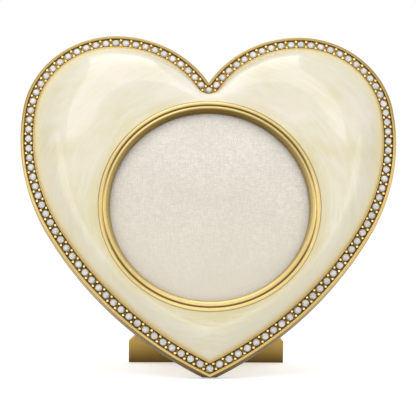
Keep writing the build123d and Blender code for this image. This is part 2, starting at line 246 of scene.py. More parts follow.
# Stones: painted shade and painted light for the facets, with pink and green fire
FACET_SHADED = (0.30, 0.285, 0.29)
FACET_LIT = (0.75, 0.725, 0.70)
PINK_FIRE = (0.93, 0.78, 0.82)
GREEN_FIRE = (0.78, 0.92, 0.84)
FIRE_RUN = (0.52, 0.7)
FIRE_SHARE = 0.5
FIRE_DETAIL = 2

# Insert card: two tones in clouds, the gaps between its threads, painted shade with a gold reflection on
# its lower part, and painted light on its upper part
CARD_DEEP = (0.80, 0.745, 0.66)
CARD_PALE = (0.90, 0.85, 0.77)
CARD_CLOUD_RUN = (0.35, 0.65)
THREAD_GAP = (0.63, 0.58, 0.50)
THREAD_SCALE = 900
THREAD_DETAIL = 3
THREAD_STRETCH = 0.12
THREAD_TONE_RUN = (0.18, 0.34)
THREAD_GLOSS_RUN = (0.1, 0.4)
THREAD_SHARE = 0.9
THREAD_RELIEF = 0.00005
LOW_CARD_SHADE_GOLD = (0.70, 0.635, 0.52)
LOW_CARD_SHADE_HEIGHTS = (0.02, -0.026)
LOW_CARD_SHADE_SHARE = 0.9
HIGH_CARD_LIGHT = (0.96, 0.91, 0.835)
HIGH_CARD_LIGHT_HEIGHTS = (0.004, 0.024)
HIGH_CARD_LIGHT_SHARE = 0.25

# Table and background
FLOOR_SIZE = 4.0
NEAR_FLOOR = 0.1
FAR_FLOOR = 0.7
NEAR_GLOW = 0.46
FAR_GLOW = 0.62
WORLD_LIGHT = 0.58

# Camera and the height that the lamps are aimed at
CAMERA_PLACE = (-0.0097, -0.37777, 0.0406)
CAMERA_TURN = (90.5, -0.3, -1.445)
CAMERA_LENS = 121
CAMERA_SENSOR = 36
CAMERA_NEAR = 0.01
AIM_Z = 0.045


def direction(angle):
    """Unit vector at this angle from X."""
    return Vector((math.cos(math.radians(angle)), math.sin(math.radians(angle))))


# Centres of the outline's arcs, first with the lobe top at height 0, then with the tip there
cleft_start = math.degrees(math.acos(-LOBE_X / CLEFT_ARC_R))
lobe_top_angle = 90.0
shoulder_end = lobe_top_angle - SHOULDER_SWEEP
side_end = shoulder_end - SIDE_SWEEP
side_from_top = Vector((LOBE_X, -SHOULDER_R)) + direction(shoulder_end) * (SHOULDER_R - SIDE_R)
flank_from_top = side_from_top + direction(side_end) * (SIDE_R - FLANK_R)
lobe_top_z = math.sqrt(FLANK_R**2 - flank_from_top.x**2) - flank_from_top.y
raise_to_tip = Vector((0, lobe_top_z))
cleft_centre = Vector((LOBE_X, -CLEFT_ARC_R)) + raise_to_tip
shoulder_centre = Vector((LOBE_X, -SHOULDER_R)) + raise_to_tip
side_centre = side_from_top + raise_to_tip
flank_centre = flank_from_top + raise_to_tip
notch = Vector((0, cleft_centre.y + math.sqrt(CLEFT_ARC_R**2 - LOBE_X**2)))

# Forward distances and insets that several pieces share
channel_floor = RIM_DEPTH - CHANNEL_DEPTH
enamel_floor = RIM_DEPTH - ENAMEL_SEAT
channel_inset = LIP_W + CHANNEL_W
enamel_inset = channel_inset + BEZEL_W
ring_joint = RIM_DEPTH + RING_RISE
ring_seat = ring_joint - ENAMEL_T - SEAT_SINK
glass_front = ring_joint - GLASS_SINK

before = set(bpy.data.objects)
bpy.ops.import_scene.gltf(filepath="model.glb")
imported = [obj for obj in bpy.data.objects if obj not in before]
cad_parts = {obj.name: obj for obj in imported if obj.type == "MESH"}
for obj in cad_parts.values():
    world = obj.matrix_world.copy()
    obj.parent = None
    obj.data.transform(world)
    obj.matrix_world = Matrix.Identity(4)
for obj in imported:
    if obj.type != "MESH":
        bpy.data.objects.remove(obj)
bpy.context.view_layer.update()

# The face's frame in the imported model: leaned back, and placed by the middle of the glass
glass_low, glass_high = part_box("glass_pane")
glass_middle = (Vector(glass_low) + Vector(glass_high)) / 2
lean_back = Matrix.Rotation(math.radians(-LEAN), 4, "X")
middle_on_face = Vector((0, GLASS_T / 2 - glass_front, RING_Z))
stand = Matrix.Translation(glass_middle - lean_back @ middle_on_face) @ lean_back
to_hinge = Matrix.Translation((0, HINGE_Y, HINGE_Z))
open_leg = to_hinge @ Matrix.Rotation(math.radians(OPEN_ANGLE), 4, "X") @ to_hinge.inverted()


# Outline of the heart

def heart_arcs(inset):
    """Right half of the outline moved inwards: centre, radius, start and end angle of each arc."""
    straight_down = 270.0
    tip_angle = -math.degrees(math.acos(-flank_centre.x / (FLANK_R - inset)))
    return [
        (notch, inset, straight_down, cleft_start + 180),
        (cleft_centre, CLEFT_ARC_R - inset, cleft_start, lobe_top_angle),
        (shoulder_centre, SHOULDER_R - inset, lobe_top_angle, shoulder_end),
        (side_centre, SIDE_R - inset, shoulder_end, side_end),
        (flank_centre, FLANK_R - inset, side_end, tip_angle),
    ]


def outline(inset):
    """Points round the whole inset outline, from the cleft down the right half and up the left half."""
    arc_steps = (NOTCH_STEPS, CLEFT_STEPS, SHOULDER_STEPS, SIDE_STEPS, FLANK_STEPS)
    right = []
    for (centre, radius, start, end), steps in zip(heart_arcs(inset), arc_steps):
        for step in range(steps):
            right.append(centre + direction(start + (end - start) * step / steps) * radius)
    tip = centre + direction(end) * radius
    left = [Vector((-point.x, point.y)) for point in reversed(right[1:])]
    return right + [tip] + left


def walk_heart(inset, distance):
    """Point on the right half after this distance from the cleft, with the inward direction there."""
    arcs = heart_arcs(inset)
    for place, (centre, radius, start, end) in enumerate(arcs):
        length = radius * math.radians(abs(end - start))
        last_arc = place == len(arcs) - 1
        if distance <= length or last_arc:
            outward = direction(start + (end - start) * distance / length)
            turns_round_notch = centre == notch
            return centre + outward * radius, outward if turns_round_notch else -outward
        distance -= length


def half_length(inset):
    """Length of the right half of the inset outline."""
    return sum(radius * math.radians(abs(end - start)) for _, radius, start, end in heart_arcs(inset))


# Mesh building

def smooth_step(value):
    """Rises gently from 0 to 1 as the value does, and stays level outside that."""
    share = min(max(value, 0.0), 1.0)
    return share * share * (3 - 2 * share)


def swing(middle, start, end, steps):
    """Points on the arc round a middle from one arm to another of the same length, without the last one."""
    return [
        middle + start.normalized().slerp(end.normalized(), step / steps) * start.length
        for step in range(steps)
    ]


def rounded(corners):
    """Closed outline from (x, y, rounding) corners, with each rounding as a short row of points."""
    points = []
    for place, (x, y, rounding) in enumerate(corners):
        corner = Vector((x, y))
        if rounding == 0:
            points.append(corner)
            continue
        before = Vector(corners[place - 1][:2])
        after = Vector(corners[(place + 1) % len(corners)][:2])
        back = (before - corner).normalized()
        on = (after - corner).normalized()
        half_angle = back.angle(on) / 2
        middle = corner + (back + on).normalized() * (rounding / math.sin(half_angle))
        start = corner + back * (rounding / math.tan(half_angle)) - middle
        end = corner + on * (rounding / math.tan(half_angle)) - middle
        points += swing(middle, start, end, ROUND_STEPS)
        points.append(middle + end)
    return points


def arc_through(start, via, end, steps):
    """Points on the circle arc from start through via to end, without the end point."""
    first = Vector(start)
    second = Vector(via) - first
    third = Vector(end) - first
    turn = 2 * (second.x * third.y - second.y * third.x)
    middle = first + Vector((
        (third.y * second.length_squared - second.y * third.length_squared) / turn,
        (second.x * third.length_squared - third.x * second.length_squared) / turn,
    ))
    start_angle, via_angle, end_angle = (
        math.degrees(math.atan2(point[1] - middle.y, point[0] - middle.x)) for point in (start, via, end)
    )
    sweep = (end_angle - start_angle) % 360
    if (via_angle - start_angle) % 360 > sweep:
        sweep -= 360
    radius = (first - middle).length
    return [middle + direction(start_angle + sweep * step / steps) * radius for step in range(steps)]


def loop_faces(loops, size):
    """Quads between neighbouring closed loops of points, with the last loop joined to the first."""
    faces = []
    for loop in range(loops):
        here = loop * size
        there = (loop + 1) % loops * size
        for step in range(size):
            after = (step + 1) % size
            faces.append((here + step, here + after, there + after, there + step))
    return faces


def make_piece(name, points, faces, matrix=stand, sharp_angle=SHARP_ANGLE, values=None, face_slots=None):
    """Mesh piece from points on the face, welded, with its normals outwards and moved to its place."""
    mesh = bpy.data.meshes.new(name)
    mesh.from_pydata(points, [], faces)
    for value_name, numbers in (values or {}).items():
        mesh.attributes.new(value_name, "FLOAT", "POINT").data.foreach_set("value", numbers)
    if face_slots:
        mesh.polygons.foreach_set("material_index", face_slots)
    work = bmesh.new()
    work.from_mesh(mesh)
    bmesh.ops.remove_doubles(work, verts=work.verts, dist=WELD)
    bmesh.ops.recalc_face_normals(work, faces=work.faces)
    work.to_mesh(mesh)
    work.free()
    mesh.transform(matrix)
    mesh.shade_smooth()
    mesh.set_sharp_from_angle(angle=math.radians(sharp_angle))
    piece = bpy.data.objects.new(name, mesh)
    bpy.context.scene.collection.objects.link(piece)
    return piece


def set_down(piece):
    """Presses what reaches below the table flat on it."""
    for vertex in piece.data.vertices:
        vertex.co.z = max(vertex.co.z, 0)


def give(piece, body, node, slot, *materials):
    """Puts a piece in the place of its node, on its body and with its materials."""
    for material in materials:
        piece.data.materials.append(material)
    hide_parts(node)
    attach(piece, body)


# Pieces of the face

def make_rim():
    """Lip, channel, bezel and ledge: one profile carried round the outline, with its painted shade."""
    front = RIM_DEPTH
    bezel_top = RIM_DEPTH + BEZEL_RISE
    corners = [
        (PANEL_HOLE_INSET, 0, BACK_ROUND),
        (0, 0, BACK_ROUND),
        (0, front, LIP_OUTER_ROUND),
        (LIP_W, front, LIP_INNER_ROUND),
        (LIP_W, channel_floor, FLOOR_ROUND),
        (channel_inset, channel_floor, FLOOR_ROUND),
        (channel_inset, bezel_top, BEZEL_ROUND),
        (enamel_inset, bezel_top, BEZEL_ROUND),
        (enamel_inset, enamel_floor, 0),
        (LEDGE_INSET, enamel_floor, 0),
        (LEDGE_INSET, PANEL_T, 0),
        (PANEL_HOLE_INSET, PANEL_T, 0),
    ]
    profile = rounded(corners)
    points = []
    face_slots = []
    painted_shade = []
    size = len(outline(0))
    gold_slot = 0
    channel_slot = 1
    for corner, after in zip(profile, profile[1:] + profile[:1]):
        points += [Vector((place.x, -corner.y, place.y)) for place in outline(corner.x)]
        # Painted shade: inside the lip, low and high on the heart, and on the outer wall, most at the tip
        on_lip = smooth_step((corner.x - LIP_BRIGHT_W) / (LIP_W - LIP_BRIGHT_W))
        on_wall = smooth_step(1 - corner.x / OUTER_WALL_SHADE_W)
        for place in outline(corner.x):
            low = smooth_step(1 - place.y / LOW_LIP_TOP)
            high = smooth_step((place.y - HIGH_LIP_FROM) / HIGH_LIP_RUN)
            at_tip = smooth_step(1 - place.y / TIP_WALL_TOP)
            wall = on_wall * (OUTER_WALL_SHADE + (1 - OUTER_WALL_SHADE) * at_tip)
            darkness = max(INNER_LIP_SHADE * on_lip, LOW_LIP_SHADE * low, HIGH_LIP_SHADE * high, wall)
            painted_shade.append(darkness if corner.x <= LIP_W else 0)
        middle = (corner + after) / 2
        in_channel = LIP_W - WELD < middle.x < channel_inset + WELD
        below_lip = channel_floor - WELD < middle.y < RIM_DEPTH - LIP_INNER_ROUND
        face_slots += [channel_slot if in_channel and below_lip else gold_slot] * size
    faces = loop_faces(len(profile), size)
    rim = make_piece("rim_shell", points, faces, values={"painted_shade": painted_shade}, face_slots=face_slots)
    set_down(rim)
    return rim


def dome_height(distance, spoke):
    """Height of the enamel above the rim, this far along a spoke from the rim to the ring."""
    gain = CREST_GAIN * smooth_step((spoke - SHORT_SPOKE) / (LONG_SPOKE - SHORT_SPOKE))
    crest = RING_RISE + gain
    crest_at = CREST_REACH * (1 - math.exp(-CREST_SHARE * spoke / CREST_REACH))
    if distance <= crest_at:
        return EDGE_RISE + (crest - EDGE_RISE) * math.sin(math.pi / 2 * distance / crest_at)
    return crest - gain * smooth_step((distance - crest_at) / (spoke - crest_at))


def ease_round(heights):
    """Evens a closed row of heights, so that the dome has no crease above the tip."""
    for _ in range(CREASE_PASSES):
        after = heights[1:] + heights[:1]
        before = heights[-1:] + heights[:-1]
        heights = [(left + 2 * here + right) / 4 for left, here, right in zip(before, heights, after)]
    return heights


def make_enamel():
    """Domed layer between the rim and the ring, which knows how far each point is from both."""
    ring_centre = Vector((0, RING_Z))
    feet = outline(enamel_inset + ENAMEL_GAP)
    arms = [foot - ring_centre for foot in feet]
    reaches = [arm.length - RING_R - ENAMEL_GAP for arm in arms]
    points = [Vector((foot.x, -enamel_floor, foot.y)) for foot in feet]
    from_rim = [0.0] * len(feet)
    from_ring = list(reaches)
    for row in range(DOME_ROWS + 1):
        share = (row / DOME_ROWS) ** ROW_POWER
        heights = ease_round([
            dome_height(share * reach, arm.length - GROOVE_R) for arm, reach in zip(arms, reaches)
        ])
        for foot, arm, reach, height in zip(feet, arms, reaches, heights):
            place = foot - arm.normalized() * (share * reach)
            points.append(Vector((place.x, -(RIM_DEPTH + height), place.y)))
            from_rim.append(share * reach)
            from_ring.append(reach - share * reach)
    for arm, reach in zip(arms, reaches):
        place = ring_centre + arm.normalized() * (arm.length - reach)
        points.append(Vector((place.x, -(ring_joint - ENAMEL_T), place.y)))
        from_rim.append(reach)
        from_ring.append(0.0)
    values = {"from_rim": from_rim, "from_ring": from_ring}
    loops = DOME_ROWS + 3
    return make_piece("enamel_dome", points, loop_faces(loops, len(feet)), values=values)


def lathe(profile):
    """Points of (radius, forward) corners turned round the axis of the opening."""
    points = []
    for corner in profile:
        for step in range(RING_STEPS):
            spoke = direction(360 * step / RING_STEPS) * corner.x
            points.append(Vector((spoke.x, -corner.y, RING_Z + spoke.y)))
    return points


def make_ring():
    """Ledge, groove and bead turned round the opening, with their painted shade."""
    ledge_r = (RING_R + GROOVE_R) / 2
    bead_r = (GROOVE_R + OPENING_R) / 2
    outer_foot = (RING_R, ring_joint)
    groove = (GROOVE_R, ring_joint + GROOVE_RISE)
    inner_foot = (OPENING_R, ring_joint + BEAD_FOOT_RISE)
    profile = arc_through(outer_foot, (ledge_r, ring_joint + LEDGE_RISE), groove, LEDGE_ARC_STEPS)
    profile += arc_through(groove, (bead_r, ring_joint + BEAD_RISE), inner_foot, BEAD_ARC_STEPS)
    profile += [
        Vector(inner_foot),
        Vector((OPENING_R, glass_front)),
        Vector((GROOVE_R, glass_front)),
        Vector((GROOVE_R, ring_seat)),
        Vector((RING_R, ring_seat)),
    ]
    painted_shade = []
    for corner in profile:
        # Painted shade: in the groove at the top and bottom, a line at the foot, and inside, most at the
        # top
        in_groove = 1 - smooth_step(abs(corner.x - GROOVE_R) / GROOVE_SHADE_W)
        at_foot = FOOT_LINE_SHADE * (1 - smooth_step((RING_R - corner.x) / FOOT_LINE_W))
        inside = smooth_step((INNER_SHADE_FROM_R - corner.x) / INNER_SHADE_RUN)
        for step in range(RING_STEPS):
            rise = direction(360 * step / RING_STEPS).y
            groove_shade = smooth_step(abs(rise) / GROOVE_SHADE_RISE)
            inner_shade = BOTTOM_INNER_SHADE + (TOP_INNER_SHADE - BOTTOM_INNER_SHADE) * (1 + rise) / 2
            painted_shade.append(max(in_groove * groove_shade, at_foot, inside * inner_shade))
    faces = loop_faces(len(profile), RING_STEPS)
    return make_piece("bezel_ring", lathe(profile), faces, values={"painted_shade": painted_shade})


def make_pane():
    """Round pane with ground edges, a hair clear of the card behind it."""
    back = glass_front - GLASS_T + PANE_CLEAR
    corners = [
        (0, back, 0),
        (GLASS_R, back, PANE_ROUND),
        (GLASS_R, glass_front, PANE_ROUND),
        (0, glass_front, 0),
    ]
    profile = rounded(corners)
    return make_piece("ground_pane", lathe(profile), loop_faces(len(profile), RING_STEPS))


# Stones and beads

def on_channel(distance, offset, mirrored):
    """Matrix that puts an upright shape on the channel floor, facing forward."""
    point, inward = walk_heart(LIP_W + CHANNEL_W / 2, distance)
    point = point + inward * offset
    turn = math.atan2(inward.y, inward.x)
    if mirrored:
        point = Vector((-point.x, point.y))
        turn = math.pi - turn
    face_forward = Matrix.Rotation(math.radians(90), 4, "X")
    place = Matrix.Translation((point.x, -channel_floor, point.y))
    return place @ face_forward @ Matrix.Rotation(turn, 4, "Z")


def stone_steps():
    """Number of gaps between stones on one half, and their even spacing."""
    length = half_length(LIP_W + CHANNEL_W / 2)
    steps = round(length / STONE_PITCH)
    return steps, length / steps


def ring_of_points(radius, height, count, turn):
    """Points evenly round a circle at this height, from this angle on."""
    return [
        Vector((*(direction(turn + 360 * step / count) * radius), height)) for step in range(count)
    ]


def brilliant():
    """Points and faces of one stone: table, star and kite facets, girdle facets and a flat foot."""
    step = 360 / STONE_SIDES
    rim_count = 2 * STONE_SIDES
    points = ring_of_points(TABLE_R, CROWN_TOP, STONE_SIDES, 0)
    points += ring_of_points(STAR_R, STAR_H, STONE_SIDES, step / 2)
    points += ring_of_points(STONE_R, GIRDLE_H, rim_count, 0)
    points += ring_of_points(STONE_R, 0, rim_count, 0)
    star = STONE_SIDES
    girdle = 2 * STONE_SIDES
    foot = girdle + rim_count
    faces = [tuple(range(STONE_SIDES))]
    for side in range(STONE_SIDES):
        after = (side + 1) % STONE_SIDES
        before = (side - 1) % STONE_SIDES
        here = girdle + 2 * side
        middle = here + 1
        there = girdle + 2 * after
        faces.append((side, after, star + side))
        faces.append((side, star + before, here, star + side))
        faces.append((star + side, here, middle))
        faces.append((star + side, middle, there))
    for side in range(rim_count):
        after = (side + 1) % rim_count
        faces.append((girdle + side, girdle + after, foot + after, foot + side))
    faces.append(tuple(range(foot, foot + rim_count)))
    return points, faces


def grain():
    """Points and faces of one bead: an upright post with a round head."""
    points = ring_of_points(GRAIN_R, 0, GRAIN_SIDES, 0)
    for level in range(GRAIN_RINGS):
        up = direction(90 * level / GRAIN_RINGS)
        points += ring_of_points(GRAIN_R * up.x, GRAIN_POST_H + GRAIN_HEAD_H * up.y, GRAIN_SIDES, 0)
    points.append(Vector((0, 0, GRAIN_POST_H + GRAIN_HEAD_H)))
    faces = loop_faces(GRAIN_RINGS + 1, GRAIN_SIDES)[: GRAIN_RINGS * GRAIN_SIDES]
    top = len(points) - 1
    last = top - GRAIN_SIDES
    for side in range(GRAIN_SIDES):
        faces.append((last + side, last + (side + 1) % GRAIN_SIDES, top))
    faces.append(tuple(range(GRAIN_SIDES)))
    return points, faces


def scatter(name, shape, places, sharp_angle):
    """One piece made of copies of a shape at many places."""
    shape_points, shape_faces = shape
    points = []
    faces = []
    for place in places:
        first = len(points)
        points += [place @ point for point in shape_points]
        faces += [tuple(first + index for index in face) for face in shape_faces]
    return make_piece(name, points, faces, sharp_angle=sharp_angle)


def make_stones():
    """All the stones, each turned by chance and with a painted light level for each facet."""
    steps, pitch = stone_steps()
    chance = random.Random(SEED)
    places = [on_channel(step * pitch, 0, False) for step in range(steps + 1)]
    places += [on_channel(step * pitch, 0, True) for step in range(1, steps)]
    turned = [place @ Matrix.Rotation(chance.uniform(0, math.pi), 4, "Z") for place in places]
    stones = scatter("opal_stones", brilliant(), turned, FACET_ANGLE)
    tints = stones.data.attributes.new("painted_facet_light", "FLOAT", "FACE")
    facets = len(brilliant()[1])
    table = 0
    first_wall = 1 + CROWN_FACETS * STONE_SIDES
    # Painted light on each facet, from shaded to lit
    shades = []
    for number in range(len(stones.data.polygons)):
        facet = number % facets
        lowest = 0
        if facet == table:
            lowest = TABLE_LEAST_LIGHT
        elif facet >= first_wall:
            lowest = WALL_LEAST_LIGHT
        shades.append(chance.uniform(lowest, 1))
    tints.data.foreach_set("value", shades)
    return stones


def make_beads():
    """All the grain beads, two in each gap between stones and each a little uneven."""
    steps, pitch = stone_steps()
    chance = random.Random(SEED)
    places = []
    for step in range(steps):
        middle_of_gap = (step + 0.5) * pitch
        for offset in (-GRAIN_OFFSET, GRAIN_OFFSET):
            for mirrored in (False, True):
                width = 1 - chance.uniform(0, GRAIN_SPREAD)
                length = 1 - chance.uniform(0, GRAIN_SPREAD)
                shape = Matrix.Diagonal((width, length, 1, 1))
                places.append(on_channel(middle_of_gap, offset, mirrored) @ shape)
    return scatter("grain_beads", grain(), places, SHARP_ANGLE)


# Easel leg

def make_leg():
    """Bevelled plate in the folded pose, opened by its own matrix and cut off level with the table."""
    cad_low, cad_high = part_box("easel_leg")
    slant = stand @ open_leg
    top_z = max((slant.inverted() @ Vector((0, y, cad_high[2]))).z for y in (cad_low[1], cad_high[1]))
    down = slant.to_3x3() @ Vector((0, 0, -1))
    hinge_foot = slant @ Vector((0, LEG_FRONT_Y, HINGE_Z))
    floor_z = HINGE_Z - hinge_foot.z / -down.z
    chamfer_foot = floor_z + FOOT_H
    chamfer_top = chamfer_foot + FOOT_CHAMFER
    flare_top = Vector((STEM_W / 2, chamfer_top + FLARE_H))
    flare_foot = Vector((FOOT_W / 2 - FOOT_CHAMFER, chamfer_top))
    run = flare_foot.x - flare_top.x
    flare_r = (run**2 + FLARE_H**2) / (2 * run)
    flare_sweep = math.degrees(math.asin(FLARE_H / flare_r))
    flare_centre = flare_top + Vector((flare_r, 0))
    right = [Vector((FOOT_W / 2, floor_z)), Vector((FOOT_W / 2, chamfer_foot))]
    for step in range(FLARE_STEPS + 1):
        angle = 180 + flare_sweep * (1 - step / FLARE_STEPS)
        right.append(flare_centre + direction(angle) * flare_r)
    for step in range(ROUND_STEPS + 1):
        corner = Vector((STEM_W / 2 - LEG_ROUND, top_z - LEG_ROUND))
        right.append(corner + direction(90 * step / ROUND_STEPS) * LEG_ROUND)
    edge = right + [Vector((-point.x, point.y)) for point in reversed(right)]
    size = len(edge)
    points = []
    for depth in (LEG_FRONT_Y, LEG_FRONT_Y + LEG_T):
        points += [Vector((point.x, depth, point.y)) for point in edge]
    faces = loop_faces(2, size)[:size]
    faces.append(tuple(range(size)))
    faces.append(tuple(range(size, 2 * size)))
    # Painted shade: the foot darkens towards the table
    painted_shade = [FOOT_SHADE * (1 - smooth_step((point.z - floor_z) / FOOT_H)) for point in points]
    leg = make_piece("easel_strut", points, faces, slant, values={"painted_shade": painted_shade})
    for vertex in leg.data.vertices:
        if vertex.co.z < LEG_T:
            vertex.co += down * (vertex.co.z / -down.z)
    bevel = leg.modifiers.new("soft_edges", "BEVEL")
    bevel.width = LEG_BEVEL
    bevel.segments = LEG_BEVEL_STEPS
    bevel.limit_method = "ANGLE"
    bevel.angle_limit = math.radians(SHARP_ANGLE)
    bevel.harden_normals = True
    return leg


# Materials

def new_material(name):
    """Material with a node tree, and its Principled shader."""
    material = bpy.data.materials.new(name)
    material.use_nodes = True
    return material, material.node_tree, material.node_tree.nodes["Principled BSDF"]


def on_face(tree, stretch=(1, 1, 1)):
    """Coordinates from the middle of the opening along the face's own axes, stretched along them."""
    place = tree.nodes.new("ShaderNodeTexCoord")
    mapping = tree.nodes.new("ShaderNodeMapping")
    mapping.vector_type = "TEXTURE"
    mapping.inputs["Location"].default_value = glass_middle
    mapping.inputs["Rotation"].default_value = (math.radians(-LEAN), 0, 0)
    mapping.inputs["Scale"].default_value = stretch
    tree.links.new(place.outputs["Object"], mapping.inputs["Vector"])
    return mapping.outputs["Vector"]


def height_on_face(tree):
    """Height up the face, from the middle of the opening."""
    split = tree.nodes.new("ShaderNodeSeparateXYZ")
    tree.links.new(on_face(tree), split.inputs["Vector"])
    return split.outputs["Z"]


def distance_on_face(tree, point):
    """Distance from a point that is given on the face's own axes."""
    gap = tree.nodes.new("ShaderNodeVectorMath")
    gap.operation = "DISTANCE"
    gap.inputs[1].default_value = point
    tree.links.new(on_face(tree), gap.inputs[0])
    return gap.outputs["Value"]


def round_opening(tree, hoop):
    """Coordinates that follow circles round the opening, all drawn in to a hoop of this radius."""
    split = tree.nodes.new("ShaderNodeSeparateXYZ")
    tree.links.new(on_face(tree), split.inputs["Vector"])
    flat = tree.nodes.new("ShaderNodeCombineXYZ")
    tree.links.new(split.outputs["X"], flat.inputs["X"])
    tree.links.new(split.outputs["Z"], flat.inputs["Y"])
    radius = tree.nodes.new("ShaderNodeVectorMath")
    radius.operation = "LENGTH"
    tree.links.new(flat.outputs["Vector"], radius.inputs[0])
    spoke = tree.nodes.new("ShaderNodeVectorMath")
    spoke.operation = "NORMALIZE"
    tree.links.new(flat.outputs["Vector"], spoke.inputs[0])
    on_hoop = tree.nodes.new("ShaderNodeVectorMath")
    on_hoop.operation = "SCALE"
    on_hoop.inputs["Scale"].default_value = hoop
    tree.links.new(spoke.outputs["Vector"], on_hoop.inputs[0])
    place = tree.nodes.new("ShaderNodeSeparateXYZ")
    tree.links.new(on_hoop.outputs["Vector"], place.inputs["Vector"])
    circles = tree.nodes.new("ShaderNodeCombineXYZ")
    tree.links.new(radius.outputs["Value"], circles.inputs["X"])
    tree.links.new(place.outputs["X"], circles.inputs["Y"])
    tree.links.new(place.outputs["Y"], circles.inputs["Z"])
    return circles.outputs["Vector"]


def noise_on(tree, place, scale, detail, swirl=0.0):
    """Noise on these coordinates, bent into swirls where asked."""
    texture = tree.nodes.new("ShaderNodeTexNoise")
    texture.inputs["Scale"].default_value = scale
    texture.inputs["Detail"].default_value = detail
    texture.inputs["Distortion"].default_value = swirl
    tree.links.new(place, texture.inputs["Vector"])
    return texture.outputs["Fac"]


def noise(tree, scale, detail, stretch=(1, 1, 1)):
    """Noise on the face's coordinates, with its spots stretched along the face's axes."""
    return noise_on(tree, on_face(tree, stretch), scale, detail)


def attribute(tree, name):
    """Value of this name that the mesh holds at each point or face."""
    reader = tree.nodes.new("ShaderNodeAttribute")
    reader.attribute_name = name
    return reader.outputs["Fac"]


def remap(tree, value, low, high, to_low, to_high):
    """Value between low and high carried to between to_low and to_high."""
    carry = tree.nodes.new("ShaderNodeMapRange")
    carry.inputs["From Min"].default_value = low
    carry.inputs["From Max"].default_value = high
    carry.inputs["To Min"].default_value = to_low
    carry.inputs["To Max"].default_value = to_high
    tree.links.new(value, carry.inputs["Value"])
    return carry.outputs["Result"]


def fade_in(tree, value, run, share=1):
    """Share that rises from 0 while the value passes from the run's start to its end."""
    return remap(tree, value, *run, 0, share)


def fade_out(tree, value, run, share=1):
    """Share that falls to 0 while the value passes from the run's start to its end."""
    return remap(tree, value, *run, share, 0)


def blend(tree, share, first, second):
    """Colour between two others, each a plain colour or the output of a node."""
    mix = tree.nodes.new("ShaderNodeMix")
    mix.data_type = "RGBA"
    factor, colour_a, colour_b = mix.inputs[0], mix.inputs[6], mix.inputs[7]
    mixed_colour = mix.outputs[2]
    tree.links.new(share, factor)
    for socket, colour in ((colour_a, first), (colour_b, second)):
        if isinstance(colour, tuple):
            socket.default_value = (*colour, 1)
        else:
            tree.links.new(colour, socket)
    return mixed_colour


def bump(tree, shader, height, distance, strength):
    """Fine relief on a shader, this deep in metres."""
    relief = tree.nodes.new("ShaderNodeBump")
    relief.inputs["Distance"].default_value = distance
    relief.inputs["Strength"].default_value = strength
    tree.links.new(height, relief.inputs["Height"])
    tree.links.new(relief.outputs["Normal"], shader.inputs["Normal"])


def brushed(scale, stretch=(1, 1, 1)):
    """Maker of straight brushing, or of an even grain where it is not stretched."""
    return lambda tree: noise(tree, scale, GOLD_GRAIN_DETAIL, stretch)


def turned(tree):
    """Brushing in circles round the opening."""
    return noise_on(tree, round_opening(tree, BRUSHING_HOOP), BRUSHING_SCALE, GOLD_GRAIN_DETAIL)


def gold(name, light, deep, brushing, relief, roughness, painted_shade=False):
    """Gold plate with brushing, a cloudy tone and, where the piece says so, dark painted shade."""
    material, tree, shader = new_material(name)
    grain_height = brushing(tree)
    cloud = noise(tree, GOLD_CLOUD_SCALE, GOLD_CLOUD_DETAIL)
    tone = blend(tree, fade_in(tree, cloud, NOISE_RUN), deep, light)
    # Painted shade from the piece's mesh, darkening the colour and dulling the metal
    if painted_shade:
        tone = blend(tree, attribute(tree, "painted_shade"), tone, GOLD_SHADE_BROWN)
        bare = remap(tree, attribute(tree, "painted_shade"), DULL_FROM_SHADE, 1, 1, DULL_METAL)
        tree.links.new(bare, shader.inputs["Metallic"])
    else:
        shader.inputs["Metallic"].default_value = 1
    tree.links.new(tone, shader.inputs["Base Color"])
    tree.links.new(remap(tree, grain_height, *NOISE_RUN, *roughness), shader.inputs["Roughness"])
    shader.inputs["Specular IOR Level"].default_value = 0
    bump(tree, shader, grain_height, relief, GOLD_RELIEF_STRENGTH)
    return material


def round_edges(material):
    """Lets the edges of a plain solid catch the light as if they were slightly rounded."""
    tree = material.node_tree
    edges = tree.nodes.new("ShaderNodeBevel")
    edges.samples = EDGE_SAMPLES
    edges.inputs["Radius"].default_value = EDGE_CATCH
    tree.links.new(edges.outputs["Normal"], tree.nodes["Bump"].inputs["Normal"])


def channel_metal():
    """Dark oxidised gold of the channel, lighter higher up the face, with lighter worn flecks."""
    material, tree, shader = new_material("oxidised_channel")
    flecks = noise(tree, FLECK_SCALE, FLECK_DETAIL)
    higher_up = fade_in(tree, height_on_face(tree), CHANNEL_HIGH_HEIGHTS)
    ground = blend(tree, higher_up, CHANNEL_DARK, CHANNEL_HIGH)
    tone = blend(tree, fade_in(tree, flecks, FLECK_RUN), ground, CHANNEL_FLECK)
    roughness = remap(tree, flecks, *NOISE_RUN, to_low=0.55, to_high=0.35)
    tree.links.new(tone, shader.inputs["Base Color"])
    tree.links.new(roughness, shader.inputs["Roughness"])
    shader.inputs["Metallic"].default_value = 1
    bump(tree, shader, flecks, FLECK_RELIEF, strength=0.6)
    return material


